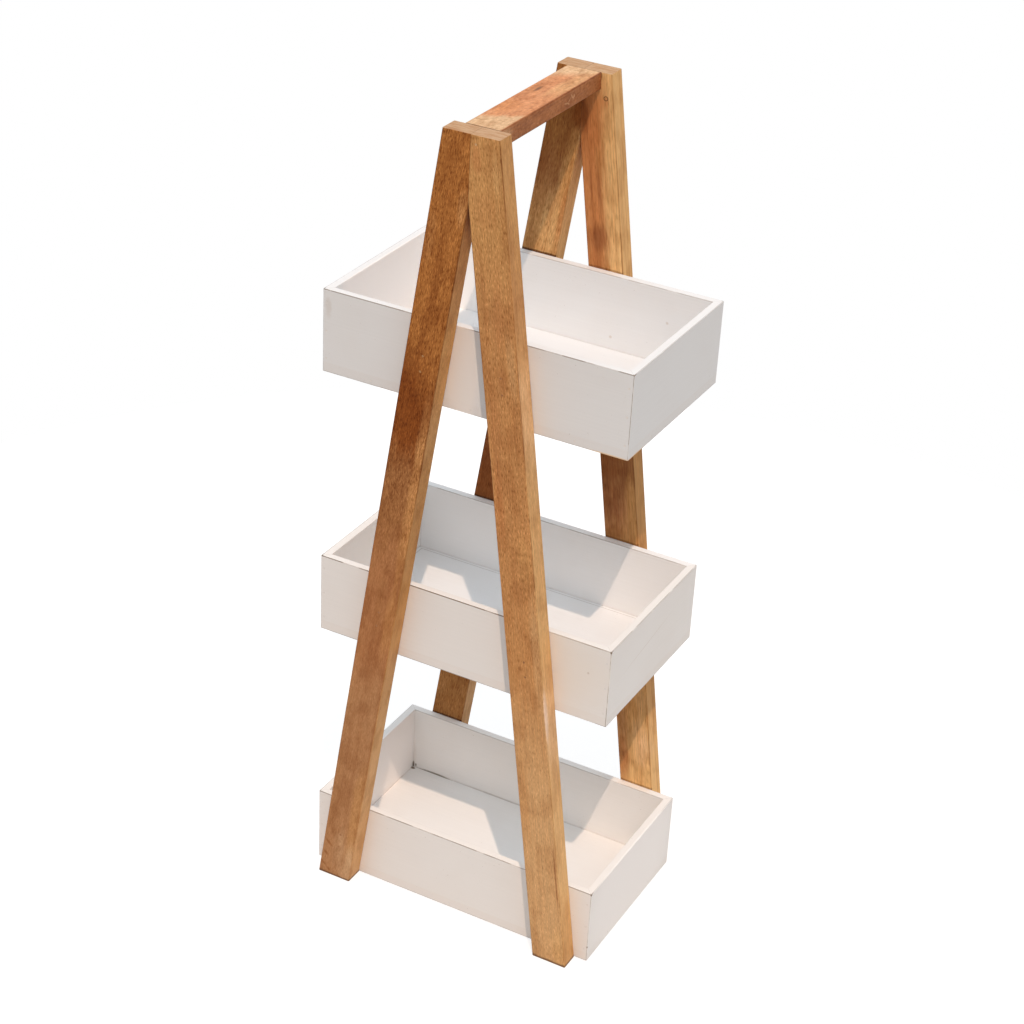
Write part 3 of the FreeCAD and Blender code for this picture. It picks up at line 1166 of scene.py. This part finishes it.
@dataclass
class HandleRail:
    """The rail that joins the tops of the frames.

    Attributes:
        nodes: CAD node objects by name.
    """

    nodes: Nodes

    # Depth of the patches on top and on the right side, and the height of those on the side
    TOP_SKIN = 6 * MM
    SIDE_SKIN = 3 * MM
    SIDE_HEIGHT = 30 * MM

    # Scratches on the right side: drops and places along in millimetres, and slopes
    SCRATCHES = ((-3, 163, 0.9), (0, 158, -0.6), (3, 154, 0.5), (-1, 168, -1.0), (2, 149, 0.2))
    SCRATCH_REACH = (3 * MM, 1.1 * MM, 5.5 * MM)

    def __post_init__(self) -> None:
        """Takes the rail's place and sizes from the frame."""
        self.low, self.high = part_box("handle_rail")
        self.half = ((self.high.x - self.low.x) / 2, (self.high.z - self.low.z) / 2)

    def upper(self, across: float, along: float, wide: float, long: float, tone: Tone, *edge: float) -> Patch:
        """Patch on top of the rail, with its place and half sizes in millimetres."""
        centre = (across * MM, -self.half[1], along * MM)
        return Patch(centre, (wide * MM, self.TOP_SKIN, long * MM), tone, *edge)

    def side(self, along: float, long: float, tone: Tone, *edge: float) -> Patch:
        """Patch over the rail's right side, with its place and half length in millimetres."""
        reach = (self.SIDE_SKIN, self.SIDE_HEIGHT, long * MM)
        return Patch((self.half[0], 0.0, along * MM), reach, tone, *edge)

    def patches(self) -> tuple[Patch, ...]:
        """Stains, paler wood and scratches.

        Returns:
            The patches in the order in which they are laid.
        """
        scratches = (Patch((self.half[0], drop * MM, along * MM), self.SCRATCH_REACH, Tone.FLAX,
                           0.6, 1.2, 0.9, (slope, 0.0, 0.0)) for drop, along, slope in self.SCRATCHES)
        return (self.upper(-12, 74, 19, 30, Tone.RUST, 0.75),
                self.upper(-13, 145, 10, 28, Tone.SIENNA, 0.65),
                self.upper(-10, 143.5, 3.4, 15, Tone.BARK, 0.75, 1.2),
                self.upper(14, 182, 19, 70, Tone.STRAW),
                self.side(118, 500, Tone.SIENNA, 0.95, 0.3, 0.4),
                self.side(215, 90, Tone.MAHOGANY, 0.7, 0.3, 0.8),
                self.side(47, 32, Tone.MAHOGANY, 0.85, 0.6, 0.8),
                Patch((self.half[0], -4 * MM, 0.0), (4 * MM, 9 * MM, 30 * MM), Tone.SAPWOOD),
                *scratches)

    def dress(self) -> None:
        """Salmon heartwood with pale sapwood towards both ends."""
        finish = TimberFinish(
            name="handle_rail_timber", turn=(math.pi / 2, 0.0, 0.0),
            shift=(0.0, (self.low.z + self.high.z) / 2, -self.low.y), half=self.half,
            length=self.high.y - self.low.y, seed=17.0, grain=(320.0, 205.0), flecks=0.38, glints=0.3,
            blotches=0.5, rings=0.14, streaks=0.14, pith=(0.01, 0.05), slant=-0.7, arris=0.8,
            tones=((Tone.SAPWOOD, 0.0, 0.15), (Tone.SALMON, 0.2, 0.84), (Tone.SAPWOOD, 0.93, 1.0)),
            patches=self.patches())
        dress(self.nodes["handle_rail"], finish.material())


@dataclass
class Tray:
    """One open tray.

    Attributes:
        nodes: CAD node objects by name.
        name: which tray.
        seed: makes its coat of paint its own.
        worn: how open its seams and edges are.
        bead: depth of the line that filler leaves on its floor.
        coat: which white its front and its ends are painted.
        inner: which white its rear board and its floor are painted; a brighter one there is painted light.
    """

    nodes: Nodes
    name: str
    seed: float
    worn: float
    bead: float = 0.0
    coat: Coat = Coat.WARM
    inner: Coat = Coat.WARM

    BOARDS = ("front_board", "left_end_board", "right_end_board")
    ALONG_BOARDS = (5, 5, 520)
    ALONG_FLOOR = (5, 420, 5)
    FLOOR_SEED = 20
    CHIP = (2.4, 2.4, 2.4)
    CHIP_RAGGED = 1.2
    CORNER = (200, -118)

    def __post_init__(self) -> None:
        """Takes the tray's place and sizes from the frame."""
        self.low, self.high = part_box(self.node("front_board"))

    def node(self, piece: str) -> str:
        """Name of one of the tray's nodes."""
        return f"{self.name}_tray_{piece}"

    def tray_patch(self, place: Triple, reach: Triple, tone: Wear, *edge: float | Triple) -> Patch:
        """Patch at a place from the middle of the tray's underside, with sizes in millimetres."""
        x, y, z = (value * MM for value in place)
        return Patch((x, y, self.low.z + z), tuple(value * MM for value in reach), tone, *edge)

    def chip(self, x: float, y: float, z: float, tone: Wear, strength: float) -> Patch:
        """Small chip or stain at a place in millimetres."""
        return self.tray_patch((x, y, z), self.CHIP, tone, strength, self.CHIP_RAGGED)

    def corner_chip(self, side: Side, height: float, strength: float = 0.9) -> Patch:
        """Chip at a front corner, at a height in millimetres above the tray's underside."""
        x, y = self.CORNER
        return self.chip(side.value * x, y, height, Wear.BARE, strength)

    def flaws_and_light(self) -> tuple[Patch, ...]:
        """The tray's own stains and chips, and its patches of painted light and shade."""
        return {"bottom": self.bottom_flaws_and_light, "middle": self.middle_flaws_and_light, "top": self.top_flaws_and_light}[self.name]()

    def bottom_flaws_and_light(self) -> tuple[Patch, ...]:
        """Open joint and chipped corner at the rear of the floor, painted shade round that corner, painted
        light on the inside of the left end and on the outside of the right end, and chipped front corners.

        Returns:
            The patches in the order in which they are laid.
        """
        return (self.tray_patch((-155, 107.5, 10.2), (36, 1.4, 2.5), Wear.BARE, 0.85, 1.0),
                self.tray_patch((-40, 107.6, 10.2), (120, 1.2, 2.2), Wear.BARE, 0.3, 1.2),
                # Painted shade round the rear-left inner corner
                self.tray_patch((-190, 108, 29), (7, 7, 35), Wear.STAIN_AND_SHADE, 0.3, 0.3, 0.9),
                self.tray_patch((-189.5, 107.5, 13.5), (1.9, 1.9, 6.5), Wear.BARE, 0.95, 0.8, 0.6),
                self.tray_patch((-188.5, 103.5, 10), (5, 2.6, 2), Wear.BARE, 0.9, 0.8, 0.6),
                self.tray_patch((-185.5, 107.8, 13.5), (1.5, 1.5, 2.8), Wear.BARE, 0.75, 0.8, 0.6),
                # Painted light: lighter inside of the left end
                self.tray_patch((-190, 5, 52.5), (3, 117, 120), Wear.ROSE, 0.9, 0.05, 0.2),
                # Painted light: lighter right end
                self.tray_patch((200, 0, 59), (3, 150, 120), Wear.MILK, 0.95, 0.1, 0.5),
                self.corner_chip(Side.RIGHT, 21, 0.7),
                self.corner_chip(Side.RIGHT, 104),
                self.corner_chip(Side.LEFT, 104))

    def middle_flaws_and_light(self) -> tuple[Patch, ...]:
        """Warmer front near the right corner, and a faint line of painted shade across the right end.

        Returns:
            The patches in the order in which they are laid.
        """
        return (self.tray_patch((140, -118, 61.5), (100, 4, 80), Wear.CREAM, 0.7, 0.3, 0.8),
                self.chip(172, -118, 66.5, Wear.STAIN_AND_SHADE, 0.6),
                # Painted shade: faint slanted shade line across the right end
                self.tray_patch((200, -13.5, 63), (3, 90, 0.8), Wear.STAIN_AND_SHADE, 0.35, 0.3, 0.7, (-0.14, 0.0, 0.0)),
                self.corner_chip(Side.RIGHT, 104))

    def top_flaws_and_light(self) -> tuple[Patch, ...]:
        """Stains, painted light on the front between the legs, inside behind the legs and on the inside of
        the left end, and lower edges that are rubbed to the wood.

        Returns:
            The patches in the order in which they are laid.
        """
        return (self.tray_patch((-192.5, -118, 84), (6, 6, 18), Wear.STAIN_AND_SHADE, 0.3, 1.2),
                self.chip(135, 108, 63, Wear.STAIN_AND_SHADE, 0.5),
                self.chip(63, 108, 26, Wear.STAIN_AND_SHADE, 0.5),
                self.tray_patch((180, -117.8, 0.3), (36, 2.6, 2), Wear.RUBBED, 0.8, 0.6),
                self.tray_patch((199.8, -100, 0.3), (2.6, 30, 2), Wear.RUBBED, 0.7, 0.6),
                # Painted light: warm bounce from the legs on the front between them
                self.tray_patch((-13, -118, 49), (26, 4, 80), Wear.IVORY, 0.7, 0.3, 0.4),
                # Painted light: lifts the shade inside, behind the front legs
                self.tray_patch((-130, 100, 24), (55, 50, 90), Wear.LIT_WHITE, 0.95, 0.2, 0.5),
                # Painted light: lighter inside of the left end
                self.tray_patch((-190, 5, 54), (3, 117, 120), Wear.PEARL, 0.9, 0.05, 0.2),
                self.corner_chip(Side.RIGHT, 105, 0.7))

    def paint(self, surface: str, coat: Coat, strokes: Triple, worn: float, bead: float,
              seed: float) -> bpy.types.Material:
        """Makes the paint of some of the tray's pieces."""
        return PaintFinish(self.node(f"{surface}_paint"), self.low, self.high, coat, strokes, worn, bead,
                           self.flaws_and_light(), seed).material()

    def dress(self) -> None:
        """Paints the boards and the floor panel."""
        boards = self.paint("board", self.coat, self.ALONG_BOARDS, self.worn, 0.0, self.seed)
        rear = self.paint("rear", self.inner, self.ALONG_BOARDS, self.worn, 0.0, self.seed)
        panel = self.paint("floor", self.inner, self.ALONG_FLOOR, 0.0, self.bead, self.seed + self.FLOOR_SEED)
        for board in self.BOARDS:
            dress(self.nodes[self.node(board)], boards)
        dress(self.nodes[self.node("rear_board")], rear)
        dress(self.nodes[self.node("floor_panel")], panel)


@dataclass
class NailFillers:
    """Putty over the set nail heads, as dished discs.

    Attributes:
        nodes: CAD node objects by name.
        radius: radius of a disc.
        depth: thickness of a disc, just under the depth that a head is set.
        dish: how far the middle of a disc has shrunk.
        sides: sides of a disc.
        least: size of the smallest disc, as a share of the radius.
    """

    nodes: Nodes
    radius: float = 1.44 * MM
    depth: float = 0.37 * MM
    dish: float = 0.12 * MM
    sides: int = 18
    least: float = 0.93

    SAME_PLACE = 1e-6
    PLACE_DIGITS = 5
    FIRST_SEED = 11

    def nails(self, node: str) -> list[list[Vector]]:
        """Parts a group of nails.

        Args:
            node: name of the group.

        Returns:
            The corners of each nail.
        """
        copy = bmesh.new()
        copy.from_mesh(self.nodes[node].data)
        bmesh.ops.remove_doubles(copy, verts=copy.verts, dist=self.SAME_PLACE)
        left = set(copy.verts)
        nails = []
        while left:
            edge = [left.pop()]
            corners = []
            while edge:
                vert = edge.pop()
                corners.append(vert.co.copy())
                near = {link.other_vert(vert) for link in vert.link_edges} & left
                left -= near
                edge.extend(near)
            nails.append(corners)
        copy.free()
        return nails

    def heads(self, node: str) -> list[Head]:
        """Finds the heads of a group of nails.

        Args:
            node: name of the group.

        Returns:
            The middle of each head's top and the direction it faces.
        """
        found = []
        for corners in self.nails(node):
            low = Vector(min(corner[i] for corner in corners) for i in range(3))
            high = Vector(max(corner[i] for corner in corners) for i in range(3))
            axis = max(range(3), key=lambda i: high[i] - low[i])
            middle = (low + high) / 2
            facing = Vector((0.0, 0.0, 0.0))
            facing[axis] = math.copysign(1.0, middle[axis])
            middle[axis] = high[axis] if facing[axis] > 0 else low[axis]
            found.append((middle, facing))
        return sorted(found, key=lambda head: tuple(round(value, self.PLACE_DIGITS) for value in head[0]))

    def tree(self) -> bpy.types.GeometryNodeTree:
        """Builds the tree that sets a dished disc on every point.

        Returns:
            The tree, with named inputs for its sizes.
        """
        tree = bpy.data.node_groups.new("nail_fillers", "GeometryNodeTree")
        inputs = {"Geometry": None, "Radius": self.radius, "Depth": self.depth, "Dish": self.dish,
                  "Least": self.least, "Sides": self.sides, "Seed": self.FIRST_SEED, "Material": None}
        kinds = {"Geometry": "Geometry", "Sides": "Int", "Seed": "Int", "Material": "Material"}
        for name, value in inputs.items():
            kind = kinds.get(name, "Float")
            socket = tree.interface.new_socket(name, in_out="INPUT", socket_type=f"NodeSocket{kind}")
            if value is not None:
                socket.default_value = value
        tree.interface.new_socket("Geometry", in_out="OUTPUT", socket_type="NodeSocketGeometry")
        graph = Graph(tree)
        given = graph.add("NodeGroupInput", {}).outputs
        dished = self.dished_disc(graph, given)
        facing = graph.add("GeometryNodeInputNamedAttribute", {"Name": "facing"}, data_type="FLOAT_VECTOR")
        turn = graph.add("FunctionNodeAlignRotationToVector", {"Vector": facing.outputs["Attribute"]},
                         axis="Z")
        size = graph.add("FunctionNodeRandomValue", {2: given["Least"], 3: 1.0, "Seed": given["Seed"]},
                         data_type="FLOAT").outputs[1]
        wide = graph.add("ShaderNodeCombineXYZ", {"X": size, "Y": size, "Z": 1.0}).outputs[0]
        discs = graph.add("GeometryNodeInstanceOnPoints", {
            "Points": given["Geometry"], "Instance": dished, "Rotation": turn.outputs[0], "Scale": wide})
        real = graph.add("GeometryNodeRealizeInstances", {"Geometry": discs.outputs[0]}).outputs[0]
        coated = graph.add("GeometryNodeSetMaterial", {"Geometry": real, "Material": given["Material"]})
        graph.add("NodeGroupOutput", {"Geometry": coated.outputs[0]})
        return tree

    @staticmethod
    def dished_disc(graph: Graph, given: bpy.types.NodeOutputs) -> Socket:
        """Disc whose top sinks towards its middle.

        Args:
            graph: tree to add to.
            given: inputs of the tree.

        Returns:
            The disc.
        """
        disc = graph.add("GeometryNodeMeshCone", {
            "Vertices": given["Sides"], "Side Segments": 1, "Fill Segments": 2, "Depth": given["Depth"],
            "Radius Top": given["Radius"], "Radius Bottom": given["Radius"]}).outputs
        place = graph.add("GeometryNodeInputPosition", {}).outputs[0]
        x, y, _ = graph.axes(place)
        share = graph.math("DIVIDE", graph.hypot(x, y), given["Radius"])
        sink = graph.times(graph.math("SUBTRACT", graph.times(share, share), 1.0), given["Dish"])
        offset = graph.add("ShaderNodeCombineXYZ", {"Z": sink}).outputs[0]
        feeds = {"Geometry": disc["Mesh"], "Selection": disc["Top"], "Offset": offset}
        return graph.add("GeometryNodeSetPosition", feeds).outputs[0]

    def fill(self) -> None:
        """Makes one piece for the nails of each putty."""
        groups = {putty: [] for putty in Putty}
        groups[Putty.LIGHT] += self.heads("rail_nails")
        for tray in TRAY_NAMES:
            for kind in ("corner", "floor"):
                groups[Putty.PAINTED] += self.heads(f"{tray}_tray_{kind}_nails")
            for head in self.heads(f"{tray}_tray_leg_nails"):
                groups[self.leg_putty(tray, head[0])].append(head)
        tree = self.tree()
        for seed, (putty, heads) in enumerate(groups.items(), start=self.FIRST_SEED):
            self.build(tree, putty, heads, seed)

    @staticmethod
    def leg_putty(tray: str, place: Vector) -> Putty:
        """Chooses the putty for a nail through a leg.

        Args:
            tray: tray that the nail holds.
            place: middle of its head.

        Returns:
            The putty.
        """
        front = place.y < 0
        right = place.x > 0
        if front and not right and tray == "top":
            return Putty.PALE
        if front and right and tray == "middle":
            return Putty.DARK
        if right and not (front and tray == "top"):
            return Putty.STRAW
        return Putty.BROWN

    def build(self, tree: bpy.types.GeometryNodeTree, putty: Putty, heads: list[Head], seed: int) -> None:
        """Makes one group of fillers.

        Args:
            tree: tree that makes the discs.
            putty: which putty.
            heads: middles of the nail heads and their directions.
            seed: fixed seed of the sizes.
        """
        name = f"{putty.name.lower()}_nail_fillers"
        points = bpy.data.meshes.new(f"{name}_points")
        points.from_pydata([head for head, _ in heads], [], [])
        facing = points.attributes.new("facing", "FLOAT_VECTOR", "POINT")
        facing.data.foreach_set("vector", [value for _, way in heads for value in way])
        seat = new_object(f"{name}_points", points)
        modifier = seat.modifiers.new("fillers", "NODES")
        modifier.node_group = tree
        inputs = {item.name: item.identifier for item in tree.interface.items_tree if item.in_out == "INPUT"}
        modifier[inputs["Seed"]] = seed
        modifier[inputs["Material"]] = putty.value.material()
        graph = bpy.context.evaluated_depsgraph_get()
        mesh = bpy.data.meshes.new_from_object(seat.evaluated_get(graph))
        bpy.data.objects.remove(seat)
        piece = new_object(name, mesh)
        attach(piece, "root")
        LOG.info("%s: %d discs, %d faces", name, len(heads), len(mesh.polygons))


@dataclass(frozen=True)
class Studio:
    """Floor, light and view.

    Attributes:
        eye: place of the camera.
        azimuth: camera's turn from the front towards +X, in degrees.
        elevation: camera's height angle, in degrees.
        roll: tilt of the camera's right side upwards, in degrees.
        sensor: width of the camera's sensor, in millimetres.
        lens: focal length in millimetres.
        sun_way: direction in which the key light travels.
        sun_level: share of full light that the key gives square on.
        sun_colour: colour of the key.
        sun_angle: apparent width of the key, in degrees.
        sky: light from the ground up, by share of the way from straight down to overhead.
        floor_radius: radius of the floor.
        floor_sides: sides of the floor's outline.
        floor_bounce: share of the light that the floor gives back to the stand.
        floor_shade: share of the floor's white that shadows can take away.
        floor_glow: share of its white that stays in shadow.
    """

    eye: Triple = (1.1100, -2.1548, 1.9102)
    azimuth: float = 27.270
    elevation: float = 29.628
    roll: float = 3.161
    sensor: float = 36.0
    lens: float = 80.50
    sun_way: Triple = (-0.29, 0.46, -0.84)
    sun_level: float = 0.49
    sun_colour: Triple = (1.0, 0.745, 0.57)
    sun_angle: float = 0.7
    sky: tuple[tuple[float, Triple], ...] = (
        (0.0, (0.26, 0.25, 0.24)),
        (0.62, (0.26, 0.25, 0.24)),
        (0.72, (0.90, 0.75, 0.645)),
        (0.85, (0.99, 1.13, 1.23)),
        (0.96, (0.58, 0.68, 0.76)),
    )
    floor_radius: float = 1.4
    floor_sides: int = 96
    floor_bounce: float = 0.5
    floor_shade: float = 0.4
    floor_glow: float = 0.72

    WHITE = (1.0, 1.0, 1.0)

    def camera(self) -> None:
        """Sets the camera at the photograph's view."""
        turn, rise, tilt = (math.radians(angle) for angle in (self.azimuth, self.elevation, self.roll))
        forward = Vector((-math.sin(turn) * math.cos(rise), math.cos(turn) * math.cos(rise), -math.sin(rise)))
        level = forward.cross(Vector((0.0, 0.0, 1.0))).normalized()
        up = level.cross(forward)
        right = level * math.cos(tilt) + up * math.sin(tilt)
        axes = Matrix((right, right.cross(forward), -forward)).transposed().to_4x4()
        data = bpy.data.cameras.new("camera")
        data.sensor_width = self.sensor
        data.lens = self.lens
        camera = new_object("camera", data)
        camera.matrix_world = Matrix.Translation(self.eye) @ axes
        bpy.context.scene.camera = camera

    def light(self) -> None:
        """Adds the key light and the sky, which the camera sees as white."""
        data = bpy.data.lights.new("key", "SUN")
        data.energy = self.sun_level * math.pi
        data.color = self.sun_colour
        data.angle = math.radians(self.sun_angle)
        lamp = new_object("key", data)
        lamp.rotation_mode = "QUATERNION"
        lamp.rotation_quaternion = Vector(self.sun_way).to_track_quat("-Z", "Y")
        world = bpy.data.worlds.new("sky")
        world.use_nodes = True
        graph = Graph(world.node_tree)
        height = graph.axes(graph.add("ShaderNodeTexCoord", {}).outputs["Generated"])[2]
        sky = graph.ramp(graph.plus(0.5, height, 0.5), self.sky)
        glow = graph.add("ShaderNodeBackground", {"Color": sky, "Strength": 1.0}).outputs[0]
        white = graph.add("ShaderNodeBackground", {"Color": self.WHITE, "Strength": 1.0}).outputs[0]
        both = graph.add("ShaderNodeMixShader", {0: self.seen_rays(graph), 1: glow, 2: white}).outputs[0]
        graph.add("ShaderNodeOutputWorld", {"Surface": both})
        bpy.context.scene.world = world

    @staticmethod
    def seen_rays(graph: Graph) -> Socket:
        """One for rays from the camera, also by way of gloss or glass.

        Args:
            graph: tree to add to.

        Returns:
            The share.
        """
        path = graph.add("ShaderNodeLightPath", {}).outputs
        shiny = graph.math("MAXIMUM", path["Is Glossy Ray"], path["Is Transmission Ray"])
        return graph.math("MAXIMUM", path["Is Camera Ray"], shiny)

    def floor(self) -> None:
        """Round white floor that keeps the stand's shadow."""
        mesh = bpy.data.meshes.new("floor")
        shape = bmesh.new()
        bmesh.ops.create_circle(shape, cap_ends=True, radius=self.floor_radius, segments=self.floor_sides)
        shape.to_mesh(mesh)
        shape.free()
        floor = new_object("floor", mesh)
        material, graph = new_material("floor")
        bounce = graph.add("ShaderNodeBsdfDiffuse", {"Color": (self.floor_bounce,) * 3}).outputs[0]
        shade = graph.add("ShaderNodeBsdfDiffuse", {"Color": (self.floor_shade,) * 3}).outputs[0]
        glow = graph.add("ShaderNodeEmission", {"Color": self.WHITE, "Strength": self.floor_glow}).outputs[0]
        white = graph.add("ShaderNodeAddShader", {0: shade, 1: glow}).outputs[0]
        both = graph.add("ShaderNodeMixShader", {0: self.seen_rays(graph), 1: bounce, 2: white}).outputs[0]
        graph.add("ShaderNodeOutputMaterial", {"Surface": both})
        mesh.materials.append(material)


def dress_fixings(nodes: Nodes) -> None:
    """Dresses the nails in steel and the dowels in beech.

    Args:
        nodes: CAD node objects by name.
    """
    for fixing in Fixing:
        material = fixing.value.material()
        for name, node in nodes.items():
            if name.endswith(f"_{fixing.name.lower()}"):
                dress(node, material)


def main() -> None:
    """Dresses the stand and sets up its studio."""
    logging.basicConfig(level=logging.INFO, format="%(name)s: %(message)s")
    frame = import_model()
    nodes = frame["nodes"]
    LeaningFrames(nodes).dress()
    HandleRail(nodes).dress()
    Tray(nodes, "bottom", seed=3.0, worn=0.75).dress()
    # Its brighter inner white is painted light in the tray's shaded inside
    Tray(nodes, "middle", seed=7.0, worn=1.0, bead=0.3, inner=Coat.CLEAR).dress()
    Tray(nodes, "top", seed=12.0, worn=0.8, coat=Coat.COOL, inner=Coat.COOL).dress()
    dress_fixings(nodes)
    NailFillers(nodes).fill()
    studio = Studio()
    studio.camera()
    studio.light()
    studio.floor()
    bpy.context.scene.view_settings.view_transform = "Standard"


if __name__ == "__main__":
    main()
